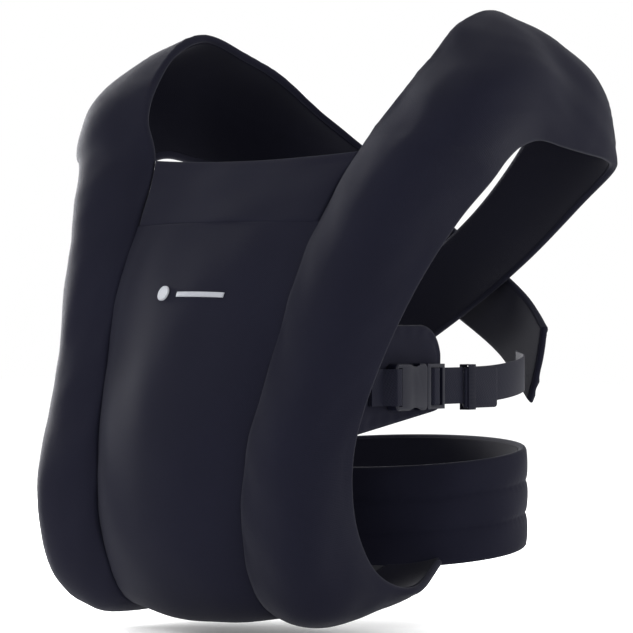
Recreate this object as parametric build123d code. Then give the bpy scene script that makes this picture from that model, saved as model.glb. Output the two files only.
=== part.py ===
"""Soft baby carrier, worn shape: front panel with a fold-down head support, side bands that run up
into shoulder straps, straps crossed on the back, two side buckles, and a waistbelt with one buckle.

Frame: +Z up, the wearer faces -Y, the wearer's left is +X. The origin is on the wearer's upright
axis, level with the lower edge of the waistbelt at the wearer's side. All sizes are in millimetres.
"""
from build123d import *
import os
from math import cos, exp, radians, sin, sqrt

# ---------------------------------------------------------------- driving sizes
SHELL = 1.4            # knit outer fabric with its interlining
LINING = 1.0           # knit lining
STRAP_FOAM = 3.4       # foam inside the shoulder straps
HEADER_FOAM = 2.4      # foam inside the head support
PLY_GAP = 0.8          # air between plies of one body
FOAM_EASE = 0.7        # extra air on each side of the foam where a strap bends most
SEAM_GAP = 0.8         # gap between neighbouring pattern pieces
BINDING = 5.0          # width of the edge bindings

BELT_HALF_WIDTH = 138.0
BELT_HALF_DEPTH = 103.0
BELT_HEIGHT = 86.0
BELT_FOAM = 4.4
BELT_BASE_Z = -1.0
BELT_RISE = 0.10       # the belt's back sits higher, as a share of the depth
BELT_HINGE_ANGLE = -14.0  # where the back half bends away, degrees round from the wearer's left
BELT_FRONT_END = 208.0  # front half's end on the wearer's right
BELT_BACK_END = 149.0   # back half's end on the wearer's right

WEBBING_WIDTH = 30.0
WEBBING = 1.4
BUCKLE_WIDTH = 38.0
BUCKLE_THICKNESS = 10.0
SOCKET_LENGTH = 41.0
SOCKET_DEPTH = 27.0
SOCKET_WALL = 2.2
ARM_LENGTH = 24.0
ARM_ROOM = 0.7         # between the sprung arms and the socket, for the swing out of it
LADDER_LENGTH = 26.0
LADDER_BAR = 3.0
LADDER_THICKNESS = 4.0
TRAVEL = 28.0          # how far a male half slides back along its webbing
CLEAR = 0.35           # between webbing, bars and neighbouring soft pieces

SIDE_BUCKLE = (153.0, -138.0, 146.0)   # mouth of the left socket
SIDE_TAIL = 44.0       # length of the folded tails
WAIST_TAIL = 16.0
TAIL_THICKNESS = 4.2
TAIL_DROP = 4.0        # how far a folded tail hangs below its webbing
KEEPER_WIDTH = 10.0
WAIST_ANCHOR_LEAN = -19.0  # the waist anchor's far end turns in to lie on the belt
TAB_LENGTH = 124.0
TAB_RISE = 50.0        # tab's top above the buckle's middle
TAB_FRONT_DROP = 40.0  # and its lower edge below that middle, at the front
TAB_BACK_DROP = 19.0   # and at the back
TAB_CORNER = 26.0
TAB_FOOT = 8.0
TAB_THICKNESS = 6.0
TAB_BACK = -104.0
CROSSING_REACH = 105.0 # how far to each side of the crossing it stays up
CROSSING_LIFT = 14.5   # how far the right strap rises to pass over the left one

# Rows from the seat's back end (0), round the seat and up the front, over the shoulder, and down
# the back to the strap's end (21). Each row: seam point, outer edge point, bulge between them.
ROWS = [
    ((86, -106, -8), (116, -64, -6), 3),
    ((81, -160, -30), (149, -134, -20), 8),
    ((77, -214, -41), (153, -172, -14), 16),
    ((76, -254, -24), (154, -206, 8), 40),
    ((77, -276, 30), (156, -228, 48), 42),
    ((81, -275, 94), (160, -232, 100), 32),
    ((88, -258, 158), (168, -214, 158), 28),
    ((95, -238, 220), (180, -182, 222), 35),
    ((99, -207, 280), (193, -144, 276), 49),
    ((113, -172, 338), (203, -112, 310), 57),
    ((136, -157, 378), (206, -93, 330), 59),
    ((150, -130, 412), (208, -76, 341), 57),
    ((155, -100, 442), (209, -52, 346), 49),
    ((157, -56, 459), (209, -18, 342), 36),
    ((153, -4, 444), (208, 18, 338), 36),
    ((144, 33, 426), (205, 52, 335), 29),
    ((124, 66, 394), (192, 82, 328), 19),
    ((88, 90, 357), (148, 97, 300), 9),
    ((32, 102, 304), (86, 106, 254), 5),
    ((-28, 104, 258), (24, 108, 212), 3),
    ((-80, 97, 222), (-46, 103, 168), 2),
    ((-120, 80, 194), (-106, 77, 126), 2),
]
PANEL_BULGE = [2, 5, 6, 14, 22, 24, 22, 18, 12, 8]
NECK_SAG = [0, 0, 0, 0, 0, 0, 0, -2, -5, -8]
HEADER_ROW = 8
NECK_ROW = 9
STRAP_ROW = 10.65      # where the strap bends as it leaves the panel
LAST_ROW = len(ROWS) - 1
# Mouth of the waist socket, on the wearer's right: level with the belt's bend, so that the back
# half draws the plug straight out as it swings.
WAIST_BUCKLE = (131.0, BELT_HALF_DEPTH * sin(radians(BELT_HINGE_ANGLE)) + SOCKET_DEPTH / 2, 42.0)
CUT_GAP = 0.03         # half the gap at a cut across the strap, in rows
FOLD_GAP = 0.015       # half the gap at the head support's fold, in rows

SOLIDS = {}


# ---------------------------------------------------------------- curves and surfaces
def add(a, b, share=1.0):
    return tuple(p + q * share for p, q in zip(a, b))


def cross(a, b):
    return (a[1] * b[2] - a[2] * b[1], a[2] * b[0] - a[0] * b[2], a[0] * b[1] - a[1] * b[0])


def unit(a):
    length = sqrt(sum(p * p for p in a))
    return tuple(p / length for p in a)


def smooth(values, row):
    """Value at a fractional row of a list, on a smooth curve through all its entries."""
    last = len(values) - 1
    i = min(max(int(row), 0), last - 1)
    f = row - i
    before, here, after, later = (values[min(max(k, 0), last)] for k in (i - 1, i, i + 1, i + 2))
    leave = (after - before) / (2 if i > 0 else 1)
    arrive = (later - here) / (2 if i + 2 <= last else 1)
    return ((2 * f**3 - 3 * f**2 + 1) * here + (f**3 - 2 * f**2 + f) * leave
            + (3 * f**2 - 2 * f**3) * after + (f**3 - f**2) * arrive)


def smooth_point(points, row):
    return tuple(smooth([p[k] for p in points], row) for k in range(3))


SEAM = [row[0] for row in ROWS]
EDGE = [row[1] for row in ROWS]
BULGE = [row[2] for row in ROWS]


def frame_of(row, first, second):
    """Direction straight out of a surface at a row, from two of the curves that bound it."""
    ahead = add(smooth_point(first, row + 0.3), smooth_point(second, row + 0.3))
    behind = add(smooth_point(first, row - 0.3), smooth_point(second, row - 0.3))
    return unit(cross(add(smooth_point(second, row), smooth_point(first, row), -1), add(ahead, behind, -1)))


def band(row):
    """Section of the left band and strap at a row: seam point, outer edge point, and the bulge."""
    outward = frame_of(row, SEAM, EDGE)
    bulge = smooth(BULGE, row)
    return smooth_point(SEAM, row), smooth_point(EDGE, row), tuple(bulge * n for n in outward)


def over_band(row):
    """The right strap before it is mirrored: it rises where it passes over the left strap."""
    seam, edge, bulge = band(row)
    middle = (seam[0] + edge[0]) / 2
    lift = (0, CROSSING_LIFT * exp(-(middle / CROSSING_REACH) ** 4) * (row > NECK_ROW), 0)
    return add(seam, lift), add(edge, lift), bulge


def panel(row):
    """Section of the panel at a row, from its right seam to its left seam."""
    left = smooth_point(SEAM, row)
    right = (-left[0], left[1], left[2])
    ahead, behind = smooth_point(SEAM, row + 0.3), smooth_point(SEAM, row - 0.3)
    outward = unit(cross((1, 0, 0), (0, ahead[1] - behind[1], ahead[2] - behind[2])))
    bulge = add(tuple(smooth(PANEL_BULGE, row) * n for n in outward), (0, 0, smooth(NECK_SAG, row)))
    return left, right, bulge


def on_arc(section, v, depth=0.0):
    """Point on a section's arc, v from 0 to 1, or at a depth under it."""
    start, end, bulge = section
    across = add(end, start, -1)
    along = add(across, bulge, 4 * (1 - 2 * v))
    under = unit(cross(cross(across, bulge), along))
    return add(add(add(start, across, v), bulge, 4 * v * (1 - v)), under, -depth)


def parabola(section, v_span, depth):
    """The stretch of a section's arc between two values of v, at a depth under it."""
    v0, v1 = v_span
    start, middle, end = (on_arc(section, v, depth) for v in (v0, (v0 + v1) / 2, v1))
    handle = add(tuple(2 * m for m in middle), add(start, end), -0.5)
    return Bezier(start, handle, end)


def ply(surface, rows, v_span, outer, inner):
    """A closed solid between two depths under a surface, over a span of rows and of v."""
    wires = []
    for row in rows:
        section = surface(row)
        top = parabola(section, v_span, outer)
        bottom = parabola(section, v_span, inner)
        wires.append(Wire([top, Line(top @ 1, bottom @ 1), bottom, Line(bottom @ 0, top @ 0)]))
    return Solid.make_loft(wires)


def spread(first, last, step=1.0):
    """Rows from the first to the last, evenly spaced and about a step apart."""
    count = max(2, round((last - first) / step))
    return [first + (last - first) * k / count for k in range(count + 1)]


def plies(names, surface, rows, v_span, thicknesses, mirrored=False):
    """Plies under one another, from the outside in, with a small gap between them."""
    depth = 0.0
    for name, thickness in zip(names, thicknesses):
        if name:
            solid = ply(surface, rows, v_span, depth, depth + thickness)
            keep(name, mirror(solid, Plane.YZ) if mirrored else solid)
        depth += thickness + PLY_GAP


def keep(name, *solids):
    """Store a node's solids, and write them to one file named after the node."""
    found = [s for solid in solids for s in solid.solids()]
    SOLIDS[name] = Compound(children=found) if len(found) > 1 else found[0]


# ---------------------------------------------------------------- panel and head support
def make_panel():
    """Front panel below the cross seam, and the head support that folds down above it."""
    across = (SEAM_GAP / 180, 1 - SEAM_GAP / 180)
    plies(("panel_shell", "panel_lining"), panel, spread(0, HEADER_ROW - FOLD_GAP, 0.5), across,
          (SHELL, LINING))
    top = NECK_ROW - BINDING / 70
    names = ("head_support_shell", "head_support_foam", "head_support_lining")
    plies(names, panel, spread(HEADER_ROW + FOLD_GAP, top - FOLD_GAP, 0.3), across,
          (SHELL, HEADER_FOAM, LINING))
    total = SHELL + HEADER_FOAM + LINING + 2 * PLY_GAP
    keep("neckline_binding", ply(panel, spread(top, NECK_ROW, 0.04), across, -PLY_GAP, total))


# ---------------------------------------------------------------- side bands and straps
def make_bands(side, surface, mirrored):
    """One side band with the strap that grows from it, in a front and a back length."""
    across = (SEAM_GAP / 90, 1 - BINDING / 70)
    rim_across = (across[1] + SEAM_GAP / 25, 1)
    total = SHELL + LINING + STRAP_FOAM + 2 * PLY_GAP
    front = spread(0, STRAP_ROW - CUT_GAP, 0.25)
    foam = spread(NECK_ROW + CUT_GAP, STRAP_ROW - CUT_GAP, 0.25)
    back = spread(STRAP_ROW + CUT_GAP, LAST_ROW, 0.8)
    strap = (SHELL, STRAP_FOAM, LINING)
    plies((f"{side}_band_shell", None, f"{side}_band_lining"), surface, front, across, strap, mirrored)
    eased = (SHELL + FOAM_EASE, STRAP_FOAM - 2 * FOAM_EASE)
    plies((None, f"{side}_strap_foam"), surface, foam, across, eased, mirrored)
    names = (f"{side}_back_strap_shell", f"{side}_back_strap_foam", f"{side}_back_strap_lining")
    plies(names, surface, back, (across[0], 1), strap, mirrored)
    rim = ply(surface, front, rim_across, -PLY_GAP / 2, total)
    keep(f"{side}_edge_binding", mirror(rim, Plane.YZ) if mirrored else rim)


# ---------------------------------------------------------------- buckles
def prism(outline, low, high):
    """A solid between two heights over an outline drawn on the ground plane."""
    face = make_face(Polyline(*outline, close=True))
    return Pos(0, 0, low) * extrude(face, high - low)


def block(x, y, z, radius=0.0):
    """A box given by its low and high limits on each axis, its upright edges rounded if asked."""
    shape = Pos(sum(x) / 2, sum(y) / 2, sum(z) / 2) * Box(x[1] - x[0], y[1] - y[0], z[1] - z[0])
    return fillet(shape.edges().filter_by(Axis.X), radius) if radius else shape


def tape(route, width, radius=1.2):
    """Webbing on edge: a route on the ground plane, given its thickness and a width in Z."""
    face = trace(FilletPolyline(*route, radius=radius), WEBBING)
    return Pos(0, 0, -width / 2) * extrude(face, width)


def socket():
    """Female half. Its mouth is at the origin and faces +Y, and its outer face is towards +X."""
    half_x, half_z = BUCKLE_THICKNESS / 2, BUCKLE_WIDTH / 2
    inner_z = half_z - SOCKET_WALL
    inner_x = LADDER_THICKNESS / 2 + 1.2
    body = block((-half_x, half_x), (-SOCKET_LENGTH, 0), (-half_z, half_z), 4)
    body = chamfer(body.faces().sort_by(Axis.X)[-1].edges(), 1.2)
    body -= block((-inner_x, inner_x), (-SOCKET_DEPTH, 1), (-inner_z, inner_z))
    slot_end = -SOCKET_LENGTH + LADDER_BAR
    body -= block((-9, 9), (slot_end, slot_end + 4.5), (-WEBBING_WIDTH / 2 - 0.6, WEBBING_WIDTH / 2 + 0.6))
    window = (-ARM_LENGTH + 1.0, -9.0)
    for sign in (-1, 1):
        span = sorted((sign * (inner_z - 1), sign * (half_z + 1)))
        body -= block((-inner_x, inner_x), window, span)
        body -= Pos(0, -16, sign * (half_z + 9)) * Rotation(0, 90, 0) * Cylinder(11.5, 20)
    return body


def plug():
    """Male half without its arms: shoulder, guide tongue, and the ladder that the webbing threads."""
    half_z = BUCKLE_WIDTH / 2
    rail = (WEBBING_WIDTH / 2 + CLEAR, half_z - 0.6)
    half_x = LADDER_THICKNESS / 2
    body = block((-half_x - 2, half_x + 2), (0.4, 5), (-half_z + 0.4, half_z - 0.4), 1.5)
    body += block((-half_x, half_x), (-ARM_LENGTH + 4, 1), (-3.2, 3.2), 1.5)
    for sign in (-1, 1):
        span = sorted((sign * rail[0], sign * rail[1]))
        body += block((-half_x, half_x), (4, LADDER_LENGTH), span)
    for start in (12.0, LADDER_LENGTH - LADDER_BAR):
        body += block((-half_x, half_x), (start, start + LADDER_BAR), (-rail[0] - 1, rail[0] + 1))
    return body


def arm(sign):
    """One sprung arm, on the +Z or -Z side, with the pad that a finger presses."""
    reach = BUCKLE_WIDTH / 2 - SOCKET_WALL - ARM_ROOM
    half_x = LADDER_THICKNESS / 2
    outline = [(0.0, 8.6), (0.0, 12.4), (-8.6, 12.8), (-9.8, reach), (-19.5, reach),
               (-ARM_LENGTH, 11.2), (-ARM_LENGTH, 9.6), (-16.0, 12.2), (-8.0, 9.8)]
    shape = prism([(y, sign * z) for y, z in outline], -half_x, half_x)
    return Plane(origin=(0, 0, 0), x_dir=(0, 1, 0), z_dir=(1, 0, 0)) * shape


def webbing_loop():
    """Webbing threaded through the ladder: round the middle bar and out under the rear bar."""
    under = -LADDER_THICKNESS / 2 - CLEAR - WEBBING / 2
    over = -under
    deeper = under - WEBBING - PLY_GAP
    end = LADDER_LENGTH + 2
    route = [(under, end), (under, 19.5), (over, 16.8), (over, 10.6), (0.0, 8.4), (deeper, 10.6),
             (deeper, end)]
    return tape(route, WEBBING_WIDTH, radius=0.9)


def anchor_loop(lean):
    """Webbing round the socket's bar, with both ends lying on the fabric that it is sewn to."""
    level = LADDER_THICKNESS / 2 + 4.5
    bar = -SOCKET_LENGTH + LADDER_BAR / 2
    slot = bar + LADDER_BAR / 2 + 2.2
    far = -SOCKET_LENGTH - 22
    low = -level + 0.7
    high = low + WEBBING + PLY_GAP
    route = [(low + lean, far), (low, slot), (BUCKLE_THICKNESS / 2 + 1.2, slot - 0.4),
             (BUCKLE_THICKNESS / 2 + 1.2, bar - 2.6), (high, bar - 9), (high + lean, far)]
    return tape(route, WEBBING_WIDTH - 0.4, radius=0.8)


def place(shape, where, mirrored):
    shape = Pos(*where) * shape
    return mirror(shape, Plane.YZ) if mirrored else shape


def make_buckle(name, where, mirrored, lean=0.0):
    """All the pieces of one buckle, with the webbing that the male half slides along."""
    run = -LADDER_THICKNESS / 2 - CLEAR - WEBBING * 1.5 - PLY_GAP
    tail = run + WEBBING + PLY_GAP
    near = LADDER_LENGTH + 2 + CLEAR
    far = LADDER_LENGTH + 3 + TRAVEL
    slack = [block((level - WEBBING / 2, level + WEBBING / 2), (near, far - 0.4),
                   (-WEBBING_WIDTH / 2, WEBBING_WIDTH / 2)) for level in (run, tail)]
    keep(f"{name}_socket", place(socket(), where, mirrored))
    keep(f"{name}_anchor_webbing", place(anchor_loop(lean), where, mirrored))
    keep(f"{name}_plug", place(plug(), where, mirrored))
    keep(f"{name}_webbing_loop", place(webbing_loop(), where, mirrored))
    keep(f"{name}_upper_arm", place(arm(1), where, mirrored))
    keep(f"{name}_lower_arm", place(arm(-1), where, mirrored))
    keep(f"{name}_adjusting_webbing", *[place(piece, where, mirrored) for piece in slack])
    return run, far


def make_tail(name, where, mirrored, run, far, length):
    """The webbing's free end, folded up beside the run, and the elastic keeper round both."""
    half = WEBBING_WIDTH / 2
    low = run + WEBBING / 2 + PLY_GAP
    folds = [block((low, low + TAIL_THICKNESS), (far, far + length), (-half - TAIL_DROP, half), 3)]
    keep(f"{name}_folded_tail", *[place(piece, where, mirrored) for piece in folds])
    x_low, x_high = run - WEBBING / 2 - 3 * CLEAR, low + TAIL_THICKNESS + CLEAR
    z_low, z_high = -half - TAIL_DROP - CLEAR, half + 4 * CLEAR
    wall = 1.0
    span = (far + 2, far + 2 + KEEPER_WIDTH)
    loop = block((x_low - wall, x_high + wall), span, (z_low - wall, z_high + wall))
    loop -= block((x_low, x_high), (span[0] - 1, span[1] + 1), (z_low, z_high))
    keep(f"{name}_keeper", place(loop, where, mirrored))


def make_run(name, route, mirrored):
    """Webbing standing on edge along a route on plan: points and the webbing's middle height."""
    wires = []
    for row in spread(0, len(route) - 1, 0.5):
        x, y, z = smooth_point(route, row)
        ahead, behind = smooth_point(route, row + 0.2), smooth_point(route, row - 0.2)
        out = unit((ahead[1] - behind[1], behind[0] - ahead[0], 0))
        foot = (x, y, z - WEBBING_WIDTH / 2)
        up = (0, 0, WEBBING_WIDTH)
        low_out, low_in = add(foot, out, WEBBING / 2), add(foot, out, -WEBBING / 2)
        wires.append(Wire(Polyline(low_out, low_in, add(low_in, up), add(low_out, up), close=True).edges()))
    strip = Solid.make_loft(wires)
    keep(name, mirror(strip, Plane.YZ) if mirrored else strip)


def make_tab(side, mirrored):
    """Padded tab that carries the side buckle: a fabric cover closed round a foam core."""
    x, y, z = SIDE_BUCKLE
    outer = x - LADDER_THICKNESS / 2 - 5.0
    start = TAB_BACK - TAB_LENGTH
    outline = [(start, z - TAB_FRONT_DROP), (TAB_BACK, z - TAB_BACK_DROP), (TAB_BACK, z + TAB_RISE),
               (start, z + TAB_RISE)]
    upright = Plane(origin=(0, 0, 0), x_dir=(0, 1, 0), z_dir=(1, 0, 0))
    whole = upright * prism(outline, outer - TAB_THICKNESS, outer)
    for order, radius in ((0, TAB_FOOT), (-1, TAB_CORNER)):
        back_edges = whole.edges().filter_by(Axis.X).group_by(Axis.Y)[-1]
        whole = fillet(back_edges.sort_by(Axis.Z)[order], radius)
    core = offset(whole, -1.0)
    keep(f"{side}_tab_cover", place(whole - core, (0, 0, 0), mirrored))
    keep(f"{side}_tab_foam", place(offset(whole, -1.15), (0, 0, 0), mirrored))


# ---------------------------------------------------------------- waistbelt
def belt_ply(first, last, outer, inner):
    """A length of belt between two angles round from the wearer's left and two depths."""
    wires = []
    for angle in spread(first, last, 12):
        turn = radians(angle)
        out = unit((cos(turn) / BELT_HALF_WIDTH, sin(turn) / BELT_HALF_DEPTH, 0))
        y = BELT_HALF_DEPTH * sin(turn)
        foot = (BELT_HALF_WIDTH * cos(turn), y, BELT_BASE_Z + BELT_RISE * y)
        low_out, low_in = add(foot, out, -outer), add(foot, out, -inner)
        up = (0, 0, BELT_HEIGHT)
        wires.append(Wire(Polyline(low_out, low_in, add(low_in, up), add(low_out, up), close=True).edges()))
    return Solid.make_loft(wires)


def make_belt():
    """Front and back halves of the belt, each a foam strip between a shell and a lining."""
    gap = 0.6
    front = (BELT_FRONT_END - 360, BELT_HINGE_ANGLE - gap)
    back = (BELT_HINGE_ANGLE + gap, BELT_BACK_END)
    for part, (first, last) in (("front", front), ("back", back)):
        depth = 0.0
        for layer, thickness in (("shell", SHELL), ("foam", BELT_FOAM), ("lining", LINING)):
            keep(f"{part}_belt_{layer}", belt_ply(first, last, depth, depth + thickness))
            depth += thickness + PLY_GAP


def make_waist_buckle():
    run, far = make_buckle("waist", WAIST_BUCKLE, True, WAIST_ANCHOR_LEAN)
    x, y, z = WAIST_BUCKLE
    make_tail("waist", WAIST_BUCKLE, True, run, far, WAIST_TAIL)
    start = y + far
    route = [(x + run, start, z), (x + run, start + 14, z), (x + run - 8, start + 24, z + 2),
             (x + run - 21, start + 32, z + 3), (x + run - 35, start + 38, z + 5)]
    make_run("waist_webbing", route, True)


def make_side_buckles():
    for side, mirrored in (("left", False), ("right", True)):
        run, far = make_buckle(side, SIDE_BUCKLE, mirrored)
        make_tail(side, SIDE_BUCKLE, mirrored, run, far, SIDE_TAIL)
        x, y, z = SIDE_BUCKLE
        start = y + far
        route = [(x + run, start, z), (x + run, start + 42, z + 1), (x + run - 6, start + 82, z + 4),
                 (x + run - 22, start + 120, z + 8), (x + run - 50, start + 148, z + 12)]
        make_run(f"{side}_webbing", route, mirrored)
        make_tab(side, mirrored)


def main():
    make_panel()
    make_bands("left", band, False)
    make_bands("right", over_band, True)
    make_side_buckles()
    make_belt()
    make_waist_buckle()
    os.makedirs("parts", exist_ok=True)
    for name, shape in SOLIDS.items():
        export_step(shape, f"parts/{name}.step")


main()
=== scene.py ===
"""Soft baby carrier in its worn shape: fabric, webbing, buckles and a small studio."""
from math import cos, radians, sin

import bmesh
import bpy
import numpy as np
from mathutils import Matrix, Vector


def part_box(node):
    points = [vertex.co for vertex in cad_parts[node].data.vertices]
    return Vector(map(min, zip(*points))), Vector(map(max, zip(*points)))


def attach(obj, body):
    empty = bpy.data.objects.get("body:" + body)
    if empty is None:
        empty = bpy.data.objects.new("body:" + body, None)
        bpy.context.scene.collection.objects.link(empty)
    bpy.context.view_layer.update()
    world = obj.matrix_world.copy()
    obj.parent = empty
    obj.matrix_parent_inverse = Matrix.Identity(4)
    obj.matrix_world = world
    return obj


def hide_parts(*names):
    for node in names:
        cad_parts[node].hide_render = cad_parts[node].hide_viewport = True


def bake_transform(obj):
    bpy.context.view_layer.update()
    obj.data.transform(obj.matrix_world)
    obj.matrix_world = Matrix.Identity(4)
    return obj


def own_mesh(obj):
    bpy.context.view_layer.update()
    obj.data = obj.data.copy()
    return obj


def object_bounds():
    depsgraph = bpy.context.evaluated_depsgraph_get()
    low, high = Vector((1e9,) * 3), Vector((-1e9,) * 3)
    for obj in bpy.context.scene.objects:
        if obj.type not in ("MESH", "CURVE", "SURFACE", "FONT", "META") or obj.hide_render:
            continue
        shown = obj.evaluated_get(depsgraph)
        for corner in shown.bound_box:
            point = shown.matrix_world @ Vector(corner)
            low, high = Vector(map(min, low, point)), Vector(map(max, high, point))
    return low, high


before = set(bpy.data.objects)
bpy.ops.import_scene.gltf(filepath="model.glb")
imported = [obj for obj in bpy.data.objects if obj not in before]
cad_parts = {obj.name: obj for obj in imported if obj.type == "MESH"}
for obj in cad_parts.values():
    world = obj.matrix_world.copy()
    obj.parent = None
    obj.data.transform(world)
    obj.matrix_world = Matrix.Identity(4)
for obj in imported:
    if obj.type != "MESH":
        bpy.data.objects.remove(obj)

bl_info = {
    "name": "Soft Baby Carrier",
    "version": (1, 0, 0),
    "blender": (4, 5, 0),
    "location": "View3D > Sidebar > Carrier",
    "description": "Builds the fabric, webbing and buckle finishes of a soft baby carrier",
    "category": "Object",
}

MM = 0.001
TURN = 6.28             # one whole wave, in radians
SLOPE_REACH = 0.3        # rows either side of a point that set its slope
CAD_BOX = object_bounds()

# Rows of the band and strap, in millimetres, from the seat's back end round the seat, up the front,
# over the shoulder and down the back: seam point, outer edge point, bulge between them.
ROWS = [
    ((86, -106, -8), (116, -64, -6), 3),
    ((81, -160, -30), (149, -134, -20), 8),
    ((77, -214, -41), (153, -172, -14), 16),
    ((76, -254, -24), (154, -206, 8), 40),
    ((77, -276, 30), (156, -228, 48), 42),
    ((81, -275, 94), (160, -232, 100), 32),
    ((88, -258, 158), (168, -214, 158), 28),
    ((95, -238, 220), (180, -182, 222), 35),
    ((99, -207, 280), (193, -144, 276), 49),
    ((113, -172, 338), (203, -112, 310), 57),
    ((136, -157, 378), (206, -93, 330), 59),
    ((150, -130, 412), (208, -76, 341), 57),
    ((155, -100, 442), (209, -52, 346), 49),
    ((157, -56, 459), (209, -18, 342), 36),
    ((153, -4, 444), (208, 18, 338), 36),
    ((144, 33, 426), (205, 52, 335), 29),
    ((124, 66, 394), (192, 82, 328), 19),
    ((88, 90, 357), (148, 97, 300), 9),
    ((32, 102, 304), (86, 106, 254), 5),
    ((-28, 104, 258), (24, 108, 212), 3),
    ((-80, 97, 222), (-46, 103, 168), 2),
    ((-120, 80, 194), (-106, 77, 126), 2),
]
SEAM = np.array([row[0] for row in ROWS], float)
EDGE = np.array([row[1] for row in ROWS], float)
BULGE = np.array([row[2] for row in ROWS], float)
PANEL_BULGE = np.array([2, 5, 6, 14, 22, 24, 22, 18, 12, 8], float)
NECK_SAG = np.array([0, 0, 0, 0, 0, 0, 0, -2, -5, -8], float)
HEADER_ROW, NECK_ROW, LAST_ROW = 8.0, 9.0, 21.0
CROSSING_LIFT, CROSSING_REACH = 14.5, 105.0
STRAP_DEPTH = 7.4      # whole thickness of a strap
BELT_HALF_WIDTH, BELT_HALF_DEPTH, BELT_HEIGHT = 138.0, 103.0, 86.0
BELT_BASE, BELT_RISE, BELT_DEPTH = -1.0, 0.10, 8.4
BELT_SPAN = (-152.0, 149.0)
TAB_SLOPE = 21.0       # rise of the tab's lower edge from front to back
TAB_CORNER, TAB_HEEL = 26, 8   # radii of the tab's upper and lower back corners
TAB_RING = 200         # points round the tab's outline


# ------------------------------------------------------------------ curves and grids
def smooth(values, rows):
    """Values at fractional rows, on a smooth curve through every entry of a list."""
    last = len(values) - 1
    i = np.clip(rows.astype(int), 0, last - 1)
    f = rows - i
    near = [values[np.clip(i + k, 0, last)] for k in (-1, 0, 1, 2)]
    if values.ndim > 1:
        f, i = f[:, None], i[:, None]
    leave = (near[2] - near[0]) / np.where(i > 0, 2, 1)
    arrive = (near[3] - near[1]) / np.where(i + 2 <= last, 2, 1)
    return ((2 * f**3 - 3 * f**2 + 1) * near[1] + (f**3 - 2 * f**2 + f) * leave
            + (3 * f**2 - 2 * f**3) * near[2] + (f**3 - f**2) * arrive)


def units(a):
    """Vectors brought to length one."""
    return a / np.maximum(np.linalg.norm(a, axis=-1, keepdims=True), 1e-9)


def band_points(rows, across, over=False):
    """Grid of points on a band and strap: across runs from 0 at the seam to 1 at the outer edge."""
    seam, edge = smooth(SEAM, rows), smooth(EDGE, rows)
    ahead = smooth(SEAM, rows + SLOPE_REACH) + smooth(EDGE, rows + SLOPE_REACH)
    behind = smooth(SEAM, rows - SLOPE_REACH) + smooth(EDGE, rows - SLOPE_REACH)
    out = units(np.cross(edge - seam, ahead - behind)) * smooth(BULGE, rows)[:, None]
    v = np.asarray(across)[None, :, None]
    grid = seam[:, None] + (edge - seam)[:, None] * v + out[:, None] * 4 * v * (1 - v)
    if over:
        middle = (seam[:, 0] + edge[:, 0]) / 2
        lift = CROSSING_LIFT * np.exp(-(middle / CROSSING_REACH) ** 4) * (rows > NECK_ROW)
        grid[..., 1] += lift[:, None]
    return grid


def panel_points(rows, across):
    """Grid of points on the panel: across runs from 0 at the right seam to 1 at the left seam."""
    left = smooth(SEAM, rows)
    along = smooth(SEAM, rows + SLOPE_REACH) - smooth(SEAM, rows - SLOPE_REACH)
    along[:, 0] = 0
    out = units(np.cross([1.0, 0, 0], along)) * smooth(PANEL_BULGE, rows)[:, None]
    out[:, 2] += smooth(NECK_SAG, rows)
    v = np.asarray(across)[None, :, None]
    grid = np.repeat(left[:, None], len(across), axis=1)
    grid[..., 0] = left[:, None, 0] * (2 * v[..., 0] - 1)
    return grid + out[:, None] * 4 * v * (1 - v)


def belt_points(angles, across):
    """Grid of points on the belt: across runs from 0 at its lower edge to 1 at its upper edge."""
    turn = np.radians(angles)[:, None]
    z = np.asarray(across)[None, :] * BELT_HEIGHT
    y = BELT_HALF_DEPTH * np.sin(turn) + z * 0
    return np.stack([BELT_HALF_WIDTH * np.cos(turn) + z * 0, y, BELT_BASE + BELT_RISE * y + z], axis=-1)


def ruler(length, rim, step):
    """Stations along a length: close together at both rims, then about a step apart."""
    near = np.array([0, 0.06, 0.22, 0.5, 1.0]) * rim
    middle = np.linspace(rim, length - rim, max(3, round((length - 2 * rim) / step)) + 1)
    return np.concatenate([near[:-1], middle, (length - near[:-1])[::-1]])


def distances(grid, axis):
    """Length along a grid from its first line, in millimetres."""
    step = np.linalg.norm(np.diff(grid, axis=axis), axis=-1)
    start = np.zeros_like(np.take(step, [0], axis=axis))
    return np.concatenate([start, np.cumsum(step, axis=axis)], axis=axis)


def rounding(reach, rim):
    """Thickness near an edge as a share of the whole, round like a turned hem."""
    near = np.clip(reach / rim, 0, 1)
    return np.sqrt(np.clip(1 - (1 - near) ** 2, 0, 1))


def bump(x, width):
    """A smooth rise to 1 at zero."""
    return np.exp(-(x / width) ** 2)


def waves(a, b, seed, count=7, size=60.0):
    """Gentle irregular folds: a sum of plane waves from a seeded draw, about -1 to 1."""
    draw = np.random.default_rng(seed)
    total = np.zeros_like(a)
    for _ in range(count):
        angle, length, phase = draw.uniform(0, 3.14), draw.uniform(0.5, 1.6) * size, draw.uniform(0, TURN)
        total += np.sin((a * cos(angle) + b * sin(angle)) * TURN / length + phase)
    return total / count**0.5


# ------------------------------------------------------------------ meshes
def link(name, mesh, material):
    """A mesh as a named piece in the scene, with its finish."""
    piece = bpy.data.objects.new(name, mesh)
    bpy.context.scene.collection.objects.link(piece)
    mesh.materials.append(material)
    return piece


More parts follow.
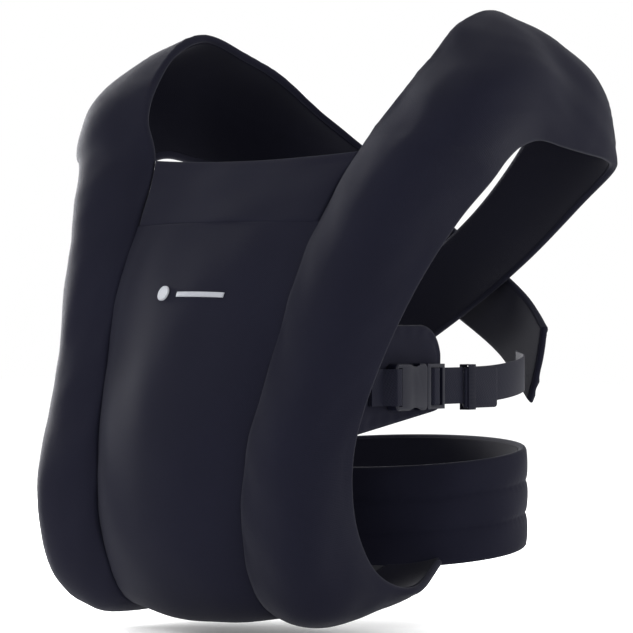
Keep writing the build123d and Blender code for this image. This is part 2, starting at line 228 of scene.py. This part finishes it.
def cloth_piece(name, grid, top, bottom, material, rim=3.0, detail=None, flip=False):
    """A closed piece of fabric between two depths under a grid of points, its rims rounded."""
    normals = units(np.cross(np.gradient(grid, axis=1), np.gradient(grid, axis=0)))
    if flip:
        normals = -normals
    s, w = distances(grid, 0), distances(grid, 1)
    edge = np.minimum(np.minimum(s, s[-1:] - s), np.minimum(w, w[:, -1:] - w))
    shape = rounding(edge, rim)
    middle, half = (top + bottom) / 2, (bottom - top) / 2
    height = detail(s, w) * np.clip(edge / rim, 0, 1) if detail is not None else 0
    outer = grid + normals * (-middle + half * shape + height)[..., None]
    inner = grid + normals * (-middle - half * shape)[..., None]
    return sheet_mesh(name, outer, inner, s, w, material, flip)


def sheet_mesh(name, outer, inner, s, w, material, flip):
    """The outer and inner faces of a fabric piece, joined at the rims, with its cloth lengths as UV map."""
    n, m = outer.shape[:2]
    verts = np.concatenate([outer.reshape(-1, 3), inner.reshape(-1, 3)]) * MM
    faces = []
    for side in (0, 1):
        base = side * n * m
        for i in range(n - 1):
            for j in range(m - 1):
                a = base + i * m + j
                quad = (a, a + m, a + m + 1, a + 1)
                faces.append(quad if (side == 1) == flip else quad[::-1])
    mesh = bpy.data.meshes.new(name)
    mesh.from_pydata(verts.tolist(), [], [f[::-1] for f in faces])
    uv = mesh.uv_layers.new(name="cloth")
    flat = np.stack([s, w], axis=-1).reshape(-1, 2) * MM
    flat = np.concatenate([flat, flat])
    index = np.zeros(len(mesh.loops), np.int32)
    mesh.loops.foreach_get("vertex_index", index)
    uv.data.foreach_set("uv", flat[index].astype(np.float32).ravel())
    work = bmesh.new()
    work.from_mesh(mesh)
    bmesh.ops.remove_doubles(work, verts=work.verts, dist=2e-6)
    bmesh.ops.recalc_face_normals(work, faces=work.faces)
    work.to_mesh(mesh)
    work.free()
    mesh.shade_smooth()
    return link(name, mesh, material)


def finish_modifier(piece, kind, **settings):
    """Adds one modifier and applies it."""
    bpy.ops.object.select_all(action="DESELECT")
    piece.select_set(True)
    bpy.context.view_layer.objects.active = piece
    modifier = piece.modifiers.new(kind.title(), kind)
    for key, value in settings.items():
        setattr(modifier, key, value)
    bpy.ops.object.modifier_apply(modifier=modifier.name)


def copy_node(node, name, material, bevel=0.4):
    """A CAD node's own shape with its edges broken, as a moulded part has them."""
    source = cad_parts[node]
    mesh = source.data.copy()
    mesh.name = name
    work = bmesh.new()
    work.from_mesh(mesh)
    bmesh.ops.remove_doubles(work, verts=work.verts, dist=1e-6)
    bmesh.ops.dissolve_limit(work, angle_limit=radians(1), verts=work.verts, edges=work.edges)
    work.to_mesh(mesh)
    work.free()
    mesh.materials.clear()
    piece = link(name, mesh, material)
    if bevel:
        finish_modifier(piece, "BEVEL", width=bevel * MM, segments=2, limit_method="ANGLE",
                        angle_limit=radians(40), harden_normals=False)
    bpy.ops.object.select_all(action="DESELECT")
    piece.select_set(True)
    bpy.context.view_layer.objects.active = piece
    bpy.ops.object.shade_smooth_by_angle(angle=radians(35))
    return piece


def finish(piece, body, slot, *nodes):
    """Sets a piece's body and hides the nodes it stands for; its slot is not used."""
    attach(piece, body)
    if nodes:
        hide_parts(*nodes)
    return piece


# ------------------------------------------------------------------ materials
def group(name, inputs, outputs):
    """An empty shader group with named sockets, and its input and output nodes."""
    tree = bpy.data.node_groups.new(name, "ShaderNodeTree")
    for label, default in inputs:
        socket = tree.interface.new_socket(label, in_out="INPUT", socket_type="NodeSocketFloat")
        socket.default_value = default
    for label, kind in outputs:
        tree.interface.new_socket(label, in_out="OUTPUT", socket_type=kind)
    return tree, tree.nodes.new("NodeGroupInput"), tree.nodes.new("NodeGroupOutput")


def set_sockets(node, values):
    """Sets a node's own sockets by name."""
    for label, value in values.items():
        node.inputs[label].default_value = value


def math_node(tree, operation, a, b=None):
    """One sum in a shader group, of sockets or numbers."""
    node = tree.nodes.new("ShaderNodeMath")
    node.operation = operation
    for socket, value in zip(node.inputs, (a, b)):
        if value is None:
            continue
        if isinstance(value, (int, float)):
            socket.default_value = value
        else:
            tree.links.new(value, socket)
    return node.outputs[0]


def weave_group():
    """Crossing yarns or knit loops that follow the piece's own UV map: a height from 0 to 1."""
    tree, source, sink = group("yarn_loops", [("Along", 800.0), ("Across", 1100.0), ("Slant", 0.0)],
                               [("Height", "NodeSocketFloat")])
    uv = tree.nodes.new("ShaderNodeUVMap")
    uv.uv_map = "cloth"
    split = tree.nodes.new("ShaderNodeSeparateXYZ")
    tree.links.new(uv.outputs[0], split.inputs[0])
    along = math_node(tree, "MULTIPLY", split.outputs[0], source.outputs["Along"])
    across = math_node(tree, "MULTIPLY", split.outputs[1], source.outputs["Across"])
    lean = math_node(tree, "MULTIPLY", across, source.outputs["Slant"])
    first = math_node(tree, "SINE", math_node(tree, "ADD", math_node(tree, "MULTIPLY", along, 6.283), lean))
    second = math_node(tree, "SINE", math_node(tree, "MULTIPLY", across, 6.283))
    both = math_node(tree, "MULTIPLY", first, second)
    tree.links.new(math_node(tree, "ADD", math_node(tree, "MULTIPLY", both, 0.5), 0.5), sink.inputs[0])
    return tree


def mottle_group():
    """Soft unevenness of dyed cloth or moulded plastic, in object space: about 0 to 1."""
    tree, source, sink = group("soft_mottle", [("Scale", 18.0), ("Detail", 5.0)],
                               [("Value", "NodeSocketFloat")])
    place = tree.nodes.new("ShaderNodeTexCoord")
    noise = tree.nodes.new("ShaderNodeTexNoise")
    tree.links.new(place.outputs["Object"], noise.inputs["Vector"])
    tree.links.new(source.outputs["Scale"], noise.inputs["Scale"])
    tree.links.new(source.outputs["Detail"], noise.inputs["Detail"])
    tree.links.new(noise.outputs["Fac"], sink.inputs[0])
    return tree


def material(name, colour, lighter, roughness, sheen=0.0, loops=None, loop_depth=0.0, grain=900.0,
             grain_depth=0.0, mottle=14.0):
    """A finish: a dark and a lighter tone mixed unevenly, with painted shade darkening the hollows between
    yarn loops, and yarn loops and fine grain as relief.
    """
    made = bpy.data.materials.new(name)
    made.use_nodes = True
    tree = made.node_tree
    shader = tree.nodes["Principled BSDF"]
    set_sockets(shader, {"Roughness": roughness, "Sheen Weight": sheen, "Sheen Roughness": 0.35,
                         "Sheen Tint": (0.85, 0.86, 0.95, 1),
                         "Specular IOR Level": 0.16 if sheen == 0 else 0.1})
    cloud = tree.nodes.new("ShaderNodeGroup")
    cloud.node_tree = bpy.data.node_groups["soft_mottle"]
    cloud.inputs["Scale"].default_value = mottle
    ramp = tree.nodes.new("ShaderNodeMix")
    ramp.data_type = "RGBA"
    ramp.inputs["A"].default_value = (*colour, 1)
    ramp.inputs["B"].default_value = (*lighter, 1)
    fine = tree.nodes.new("ShaderNodeGroup")
    fine.node_tree = bpy.data.node_groups["soft_mottle"]
    fine.inputs["Scale"].default_value = grain
    height = math_node(tree, "MULTIPLY", fine.outputs[0], grain_depth)
    tone = cloud.outputs[0]
    if loops:
        yarn = tree.nodes.new("ShaderNodeGroup")
        yarn.node_tree = bpy.data.node_groups["yarn_loops"]
        for key, value in zip(("Along", "Across", "Slant"), loops):
            yarn.inputs[key].default_value = value
        height = math_node(tree, "ADD", height, math_node(tree, "MULTIPLY", yarn.outputs[0], loop_depth))
        # Painted shade: the tone follows the yarn loops' height, lighter on their crowns and darker in the
        # hollows between them.
        tone = math_node(tree, "ADD", math_node(tree, "MULTIPLY", tone, 0.7),
                         math_node(tree, "MULTIPLY", yarn.outputs[0], 0.3))
    tree.links.new(tone, ramp.inputs["Factor"])
    tree.links.new(ramp.outputs["Result"], shader.inputs["Base Color"])
    relief = tree.nodes.new("ShaderNodeBump")
    relief.inputs["Distance"].default_value = 1.0
    relief.inputs["Strength"].default_value = 1.0
    tree.links.new(height, relief.inputs["Height"])
    tree.links.new(relief.outputs[0], shader.inputs["Normal"])
    return made


def finishes():
    """All the finishes, in the colours of the sidebar."""
    weave_group()
    mottle_group()
    tones = bpy.context.scene.carrier_colours
    knit = tuple(tones.knit)
    material("fine_knit", knit, tuple(1.5 * c for c in knit), 0.88, 0.05,
             (700, 900, 0), 0.00008, 1400, 0.00015)
    # The lining is the knit colour darkened to 0.6 and 0.9 of it: painted shade, so the inner faces of
    # straps, panel, head support and belt read as if in shadow.
    material("inner_lining", tuple(0.6 * c for c in knit), tuple(0.9 * c for c in knit), 0.95, 0.02,
             (500, 500, 0), 0.00008, 1200, 0.0001)
    web = tuple(tones.webbing)
    material("woven_tape", web, tuple(1.6 * c for c in web), 0.7, 0.04,
             (420, 300, 3.14), 0.00016, 2000, 0.00005)
    material("ribbed_elastic", web, tuple(1.3 * c for c in web), 0.75, 0.03,
             (900, 160, 0), 0.0002, 2000, 0.00005)
    plastic = tuple(tones.buckle)
    material("moulded_plastic", plastic, tuple(1.15 * c for c in plastic), 0.45, 0,
             None, 0, 2500, 0.00002, 60)
    material("embroidery_thread", tuple(tones.thread), tuple(0.8 * c for c in tones.thread), 0.5, 0.1,
             (250, 1600, 0), 0.00012, 2500, 0.00005)


# ------------------------------------------------------------------ fabric
SIDES = (("left", False), ("right", True))


def mirrored(grid, flip):
    """The grid, or its mirror image on the other side."""
    return grid * [-1, 1, 1] if flip else grid


def band_detail(seed):
    """Relief of a band and strap: seam pucker, topstitching along the hem, and soft drag folds."""
    def relief(s, w):
        width = w[:, -1:]
        from_hem = width - w
        lay = bpy.context.scene.carrier_cloth.fold_depth
        folds = waves(s, w, seed, 8, 85) * 0.9 + waves(s, w, seed + 5, 8, 34) * 0.25
        pucker = np.sin(s * TURN / 7 + waves(s, w, seed + 2, 4, 40)) * bump(w - 4, 5) * 0.25
        stitch = -0.7 * bump(from_hem - 9, 1.3) - 0.5 * bump(w - 6, 1.2)
        return folds * lay * np.clip(from_hem / 14, 0.25, 1) + pucker + stitch
    return relief


def make_straps():
    """Bands that run from the seat up into the shoulder straps and cross on the back."""
    rows = ruler(LAST_ROW, 0.05, 0.0048 * 21)
    across = 0.004 + 0.992 * ruler(1.0, 0.022, 0.034)
    for side, flip in SIDES:
        grid = mirrored(band_points(rows, across, over=flip), flip)
        knit, lining = bpy.data.materials["fine_knit"], bpy.data.materials["inner_lining"]
        shell = cloth_piece(f"{side}_strap_band", grid, -0.6, STRAP_DEPTH - 1.0, knit, 3.4,
                            band_detail(3 if flip else 11), flip)
        inside = mirrored(band_points(rows, 0.03 + 0.94 * ruler(1.0, 0.02, 0.05), over=flip), flip)
        cover = cloth_piece(f"{side}_strap_lining", inside, STRAP_DEPTH - 1.6, STRAP_DEPTH + 0.2, lining,
                            2.0, flip=flip)
        for piece in (shell, cover):
            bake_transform(piece)
        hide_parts(f"{side}_band_shell", f"{side}_back_strap_shell", f"{side}_strap_foam",
                    f"{side}_back_strap_foam", f"{side}_edge_binding")
        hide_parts(f"{side}_band_lining", f"{side}_back_strap_lining")


def make_panel():
    """Front panel: knit shell and lining, from the seat's back end up to the cross seam."""
    rows = ruler(HEADER_ROW, 0.05, 0.1)
    across = -0.016 + 1.032 * ruler(1.0, 0.015, 0.028)

    def relief(s, w):
        top = s[-1:] - s
        width = w[:, -1:]
        seam = np.minimum(w, width - w)
        depth = bpy.context.scene.carrier_cloth.fold_depth
        drape = waves(s, w, 21, 7, 120) * 0.8 + waves(s * 0.5, w, 23, 6, 45) * 0.22
        pucker = np.sin(s * TURN / 8 + waves(s, w, 25, 4, 40)) * bump(seam - 4, 5) * 0.2
        return drape * depth + pucker - 0.5 * bump(seam - 9, 1.2) - 0.5 * bump(top - 5, 1.2)

    grid = panel_points(rows, across)
    shell = cloth_piece("front_panel", grid, -0.4, 1.4, bpy.data.materials["fine_knit"], 1.6, relief)
    finish(shell, "carrier_front", "knit", "panel_shell")
    back = cloth_piece("front_panel_lining", grid, 2.2, 3.4, bpy.data.materials["inner_lining"], 1.2)
    finish(back, "carrier_front", "lining", "panel_lining")


def make_head_support():
    """Head support that folds down at the cross seam, with its turned top hem."""
    rows = HEADER_ROW - 0.02 + ruler(NECK_ROW - HEADER_ROW + 0.02, 0.04, 0.06)
    across = -0.004 + 1.008 * ruler(1.0, 0.015, 0.028)

    def relief(s, w):
        top = s[-1:] - s
        depth = bpy.context.scene.carrier_cloth.fold_depth
        return (waves(s, w, 31, 6, 70) * 0.5 * depth - 0.6 * bump(top - 10, 1.3) - 0.5 * bump(s - 5, 1.2))

    grid = panel_points(rows, across)
    shell = cloth_piece("head_support", grid, -0.9, 4.6, bpy.data.materials["fine_knit"], 2.6, relief)
    inside = panel_points(rows, 0.02 + 0.96 * across)
    cover = cloth_piece("head_support_back", inside, 4.2, 5.8, bpy.data.materials["inner_lining"], 1.5)
    for piece in (shell, cover):
        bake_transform(piece)
    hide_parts("head_support_shell", "head_support_foam", "neckline_binding")
    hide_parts("head_support_lining")


def make_belt():
    """Waistbelt quilted in three channels, bending at the wearer's left side."""
    first, last = BELT_SPAN
    angles = first + ruler(last - first, 2.0, 1.7)
    across = ruler(1.0, 0.035, 0.03)

    def relief(s, w):
        puff = bpy.context.scene.carrier_cloth.quilt_depth
        channel = w / w[:, -1:] * 3
        crown = np.abs(np.sin(channel * 3.1416)) ** 0.32
        pucker = np.sin(s * TURN / 9 + waves(s, w, 41, 4, 50)) * (1 - crown) * 0.5
        return puff * (crown - 1) + pucker + waves(s, w, 43, 6, 60) * 0.5

    knit, lining = bpy.data.materials["fine_knit"], bpy.data.materials["inner_lining"]
    shell = cloth_piece("waistbelt", belt_points(angles, across), -1.2, BELT_DEPTH - 1.0, knit, 4.0, relief,
                        flip=True)
    inside = belt_points(angles, 0.03 + 0.94 * across)
    cover = cloth_piece("waistbelt_lining", inside, BELT_DEPTH - 1.6, BELT_DEPTH + 0.4, lining, 2.0,
                        flip=True)
    for piece in (shell, cover):
        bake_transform(piece)
    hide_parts("front_belt_shell", "front_belt_foam", "back_belt_shell", "back_belt_foam")
    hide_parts("front_belt_lining", "back_belt_lining")


def make_tabs():
    """Padded tabs that carry the side buckles."""
    for side, flip in SIDES:
        low, high = (np.array(corner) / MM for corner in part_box(f"{side}_tab_cover"))
        tab = tab_mesh(f"{side}_tab", low, high, TAB_SLOPE)
        finish(tab, "carrier_front", "knit", f"{side}_tab_cover", f"{side}_tab_foam")


def tab_mesh(name, low, high, drop):
    """A pad with a sloping lower edge and round back corners, puffed inside a topstitched rim."""
    front, back = low[1], high[1]
    heel = (back - TAB_HEEL, low[2] + drop + 6)
    corner = (back - TAB_CORNER, high[2] - TAB_CORNER)
    outline = [(front, low[2]), (heel[0], low[2] + drop - 2)]
    outline += [(heel[0] + TAB_HEEL * sin(radians(a)), heel[1] - TAB_HEEL * cos(radians(a)))
                for a in (30, 60, 90)]
    outline += [(corner[0] + TAB_CORNER * cos(radians(a)), corner[1] + TAB_CORNER * sin(radians(a)))
                for a in range(0, 91, 9)]
    outline.append((front, high[2]))
    ring = resample(np.array(outline), TAB_RING)
    centre = np.array([(front + back) / 2, (low[2] + drop + high[2]) / 2])
    core = (ring - centre) * [0.55, 0.02] + centre
    shares = np.array([0.0, 0.012, 0.04, 0.09, 0.16, 0.24, 0.34, 0.48, 0.64, 0.82, 1.0])
    layers = ring[None] * (1 - shares[:, None, None]) + core[None] * shares[:, None, None]
    reach = shares[:, None] * (high[2] - low[2]) / 2
    turn = np.arange(TAB_RING)[None, :]
    wrinkle = 0.3 * np.sin(turn * 0.75) * bump(reach - 6, 5) + 0.25 * np.sin(turn * 0.19 + reach / 7)
    half = (high[0] - low[0]) / 2
    puff = half * rounding(reach, 3.0) * (0.72 + 0.28 * rounding(reach, 22)) - 0.7 * bump(reach - 7, 1.6)
    middle = (low[0] + high[0]) / 2
    verts, faces = [], []
    for sign in (1, -1):
        base = len(verts)
        for k, layer in enumerate(layers):
            depth = middle + sign * (puff[k] + wrinkle[k] * (k > 1))
            verts += [(d * MM, y * MM, z * MM) for d, (y, z) in zip(depth, layer)]
        for k in range(len(shares) - 1):
            for i in range(TAB_RING):
                a, b = (base + k * TAB_RING + n for n in (i, (i + 1) % TAB_RING))
                faces.append((a, b, b + TAB_RING, a + TAB_RING))
    mesh = bpy.data.meshes.new(name)
    mesh.from_pydata(verts, [], faces)
    work = bmesh.new()
    work.from_mesh(mesh)
    bmesh.ops.remove_doubles(work, verts=work.verts, dist=1e-5)
    bmesh.ops.holes_fill(work, edges=[edge for edge in work.edges if edge.is_boundary])
    bmesh.ops.recalc_face_normals(work, faces=work.faces)
    work.to_mesh(mesh)
    work.free()
    uv = mesh.uv_layers.new(name="cloth")
    for loop in mesh.loops:
        place = mesh.vertices[loop.vertex_index].co
        uv.data[loop.index].uv = (place.y, place.z)
    mesh.shade_smooth()
    return link(name, mesh, bpy.data.materials["fine_knit"])


def resample(points, count):
    """Points set evenly round a closed outline."""
    closed = np.vstack([points, points[:1]])
    length = np.concatenate([[0], np.cumsum(np.linalg.norm(np.diff(closed, axis=0), axis=1))])
    at = np.linspace(0, length[-1], count, endpoint=False)
    return np.stack([np.interp(at, length, closed[:, k]) for k in (0, 1)], axis=1)


def make_mark():
    """A plain embroidered lens and bar on the front panel."""
    thread = bpy.data.materials["embroidery_thread"]
    t = np.linspace(-1, 1, 25)
    lens = np.maximum(np.sqrt(1 - t**2), 0.02)[:, None] * np.linspace(-1, 1, 17)[None, :]
    shapes = (("embroidered_lens", 6.95, 0.365, 0.10, 0.034, lens),
              ("embroidered_bar", 6.93, 0.580, 0.034, 0.130,
               np.ones((25, 1)) * np.linspace(-1, 1, 61)[None]))
    stations = np.linspace(0, 1, 401)
    for name, row, place, tall, wide, spread in shapes:
        rows = row + tall * t
        line = panel_points(rows, stations)
        at = place + wide * spread
        grid = np.stack([np.stack([np.interp(at[i], stations, line[i, :, k]) for k in range(3)], axis=-1)
                         for i in range(len(rows))])
        piece = cloth_piece(name, grid, -2.0, -0.2, thread, 0.7)
        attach(piece, "carrier_front")


# ------------------------------------------------------------------ webbing and buckles
HOSTS = {"left": "right_back_strap", "right": "left_back_strap", "waist": "back_belt"}


def webbing_from(node, name, material_name, bevel):
    """A copy of a webbing node with a UV map for its weave."""
    piece = copy_node(node, name, bpy.data.materials[material_name], bevel)
    uv = piece.data.uv_layers.new(name="cloth")
    for loop in piece.data.loops:
        place = piece.data.vertices[loop.vertex_index].co
        uv.data[loop.index].uv = (place.y + 0.4 * place.x, place.z)
    return piece


def make_webbing():
    """Webbing runs, anchors, loops, folded tails and elastic keepers."""
    for name, host in HOSTS.items():
        finish(webbing_from(f"{name}_webbing", f"{name}_webbing_run", "woven_tape", 0.3), host, "webbing",
               f"{name}_webbing")
        finish(webbing_from(f"{name}_anchor_webbing", f"{name}_anchor", "woven_tape", 0.3), "carrier_front",
               "webbing", f"{name}_anchor_webbing")
        finish(webbing_from(f"{name}_webbing_loop", f"{name}_loop", "woven_tape", 0.3),
               f"{name}_buckle_plug", "webbing", f"{name}_webbing_loop")
        finish(webbing_from(f"{name}_folded_tail", f"{name}_tail", "woven_tape", 1.2), host, "webbing",
               f"{name}_folded_tail")
        finish(webbing_from(f"{name}_keeper", f"{name}_elastic_keeper", "ribbed_elastic", 0.4),
               f"{name}_keeper", "elastic", f"{name}_keeper")
        slack = webbing_from(f"{name}_adjusting_webbing", f"{name}_slack", "woven_tape", 0.3)
        finish(slack, host, "webbing", f"{name}_adjusting_webbing")
        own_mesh(slack)


def make_buckles():
    """Sockets, plugs and sprung arms with moulded edges."""
    plastic = bpy.data.materials["moulded_plastic"]
    for name in HOSTS:
        for part, body in (("socket", "carrier_front"), ("plug", f"{name}_buckle_plug"),
                           ("upper_arm", f"{name}_upper_arm"), ("lower_arm", f"{name}_lower_arm")):
            piece = copy_node(f"{name}_{part}", f"{name}_buckle_{part}", plastic, 0.45)
            finish(piece, body, "buckle_plastic", f"{name}_{part}")


# ------------------------------------------------------------------ stage
def make_stage():
    """Pale floor, white surround, soft lights and the camera."""
    scene = bpy.context.scene
    low, high = CAD_BOX
    bpy.ops.mesh.primitive_plane_add(size=14, location=(0, 0, low[2] - 0.012))
    floor = bpy.context.active_object
    floor.name = "floor"
    pale = bpy.data.materials.new("pale_floor")
    pale.use_nodes = True
    set_sockets(pale.node_tree.nodes["Principled BSDF"],
                {"Base Color": (0.98, 0.98, 0.98, 1), "Roughness": 1.0, "Specular IOR Level": 0.0,
                 "Emission Color": (1, 1, 1, 1), "Emission Strength": 0.12})
    floor.data.materials.append(pale)
    world = bpy.data.worlds.new("studio")
    scene.world = world
    world.use_nodes = True
    set_sockets(world.node_tree.nodes["Background"], {"Color": (1, 1, 1, 1), "Strength": 1.0})
    lamps = (("key", (-1.2, -2.0, 1.5), 30, 1.2), ("fill", (2.1, -1.2, 0.3), 22, 1.2),
             ("rim_left", (-1.9, 0.2, 0.6), 110, 0.8), ("rim_right", (1.4, 1.5, 1.4), 22, 0.9))
    for name, place, power, size in lamps:
        light = bpy.data.lights.new(name, "AREA")
        light.energy, light.size = power, size
        lamp = bpy.data.objects.new(name, light)
        scene.collection.objects.link(lamp)
        lamp.location = place
        aim(lamp, (0, -0.08, 0.22))
    camera = bpy.data.objects.new("camera", bpy.data.cameras.new("camera"))
    scene.collection.objects.link(camera)
    turn, aside, away = radians(40), 0.0584, 2.5
    target = (-aside * cos(turn), -aside * sin(turn), 0.203)
    camera.location = (target[0] + away * sin(turn), target[1] - away * cos(turn), target[2])
    camera.data.lens = 160.7
    camera.data.sensor_width = 36
    aim(camera, target)
    scene.camera = camera
    scene.view_settings.view_transform = "Standard"


def aim(thing, target):
    """Turns a lamp or camera to face a place."""
    away = Vector(thing.location) - Vector(target)
    thing.rotation_euler = away.to_track_quat("Z", "Y").to_euler()


# ------------------------------------------------------------------ add-on
class CarrierCloth(bpy.types.PropertyGroup):
    fold_depth: bpy.props.FloatProperty(name="Fold depth", description="Height of soft folds, millimetres",
                                        default=1.0, min=0, max=4)
    quilt_depth: bpy.props.FloatProperty(name="Quilt depth", description="Depth of the belt's channels",
                                         default=3.6, min=0, max=5)


class CarrierColours(bpy.types.PropertyGroup):
    knit: bpy.props.FloatVectorProperty(name="Knit", description="Outer fabric", subtype="COLOR", size=3,
                                        default=(0.0034, 0.0035, 0.0082), min=0, max=1)
    webbing: bpy.props.FloatVectorProperty(name="Webbing", description="Webbing", subtype="COLOR", size=3,
                                           default=(0.0032, 0.0034, 0.0080), min=0, max=1)
    buckle: bpy.props.FloatVectorProperty(name="Buckle", description="Moulded buckles", subtype="COLOR",
                                          size=3, default=(0.0040, 0.0043, 0.0095), min=0, max=1)
    thread: bpy.props.FloatVectorProperty(name="Thread", description="Embroidery thread", subtype="COLOR",
                                          size=3, default=(0.30, 0.31, 0.34), min=0, max=1)


class CARRIER_OT_finishes(bpy.types.Operator):
    """Make the fabric, webbing and plastic finishes"""
    bl_idname = "carrier.finishes"
    bl_label = "Finishes"

    def execute(self, context):
        finishes()
        return {"FINISHED"}


class CARRIER_OT_straps(bpy.types.Operator):
    """Build the side bands and shoulder straps"""
    bl_idname = "carrier.straps"
    bl_label = "Bands and Straps"

    def execute(self, context):
        make_straps()
        return {"FINISHED"}


class CARRIER_OT_panel(bpy.types.Operator):
    """Build the front panel"""
    bl_idname = "carrier.panel"
    bl_label = "Front Panel"

    def execute(self, context):
        make_panel()
        return {"FINISHED"}


class CARRIER_OT_mark(bpy.types.Operator):
    """Embroider a plain mark on the panel"""
    bl_idname = "carrier.mark"
    bl_label = "Embroidery"

    def execute(self, context):
        make_mark()
        return {"FINISHED"}


class CARRIER_OT_head_support(bpy.types.Operator):
    """Build the fold-down head support"""
    bl_idname = "carrier.head_support"
    bl_label = "Head Support"

    def execute(self, context):
        make_head_support()
        return {"FINISHED"}


class CARRIER_OT_belt(bpy.types.Operator):
    """Build the quilted waistbelt"""
    bl_idname = "carrier.belt"
    bl_label = "Waistbelt"

    def execute(self, context):
        make_belt()
        return {"FINISHED"}


class CARRIER_OT_tabs(bpy.types.Operator):
    """Build the padded side tabs"""
    bl_idname = "carrier.tabs"
    bl_label = "Side Tabs"

    def execute(self, context):
        make_tabs()
        return {"FINISHED"}


class CARRIER_OT_webbing(bpy.types.Operator):
    """Build the webbing, tails and keepers"""
    bl_idname = "carrier.webbing"
    bl_label = "Webbing"

    def execute(self, context):
        make_webbing()
        return {"FINISHED"}


class CARRIER_OT_buckles(bpy.types.Operator):
    """Build the side-release buckles"""
    bl_idname = "carrier.buckles"
    bl_label = "Buckles"

    def execute(self, context):
        make_buckles()
        return {"FINISHED"}


class CARRIER_OT_stage(bpy.types.Operator):
    """Set up the floor, lights and camera"""
    bl_idname = "carrier.stage"
    bl_label = "Stage"

    def execute(self, context):
        make_stage()
        return {"FINISHED"}


OPERATORS = (CARRIER_OT_finishes, CARRIER_OT_straps, CARRIER_OT_panel, CARRIER_OT_mark,
             CARRIER_OT_head_support, CARRIER_OT_belt, CARRIER_OT_tabs, CARRIER_OT_webbing,
             CARRIER_OT_buckles, CARRIER_OT_stage)


class CARRIER_PT_sidebar(bpy.types.Panel):
    bl_label = "Soft Baby Carrier"
    bl_idname = "CARRIER_PT_sidebar"
    bl_space_type = "VIEW_3D"
    bl_region_type = "UI"
    bl_category = "Carrier"

    def draw(self, context):
        for name in ("fold_depth", "quilt_depth"):
            self.layout.prop(context.scene.carrier_cloth, name)
        for name in ("knit", "webbing", "buckle", "thread"):
            self.layout.prop(context.scene.carrier_colours, name)
        for operator in OPERATORS:
            self.layout.operator(operator.bl_idname)


CLASSES = (CarrierCloth, CarrierColours, *OPERATORS, CARRIER_PT_sidebar)


def register():
    for item in CLASSES:
        bpy.utils.register_class(item)
    bpy.types.Scene.carrier_cloth = bpy.props.PointerProperty(type=CarrierCloth)
    bpy.types.Scene.carrier_colours = bpy.props.PointerProperty(type=CarrierColours)


def unregister():
    del bpy.types.Scene.carrier_colours
    del bpy.types.Scene.carrier_cloth
    for item in reversed(CLASSES):
        bpy.utils.unregister_class(item)


def main():
    register()
    for operator in OPERATORS:
        family, name = operator.bl_idname.split(".")
        getattr(getattr(bpy.ops, family), name)()


if __name__ == "__main__":
    main()
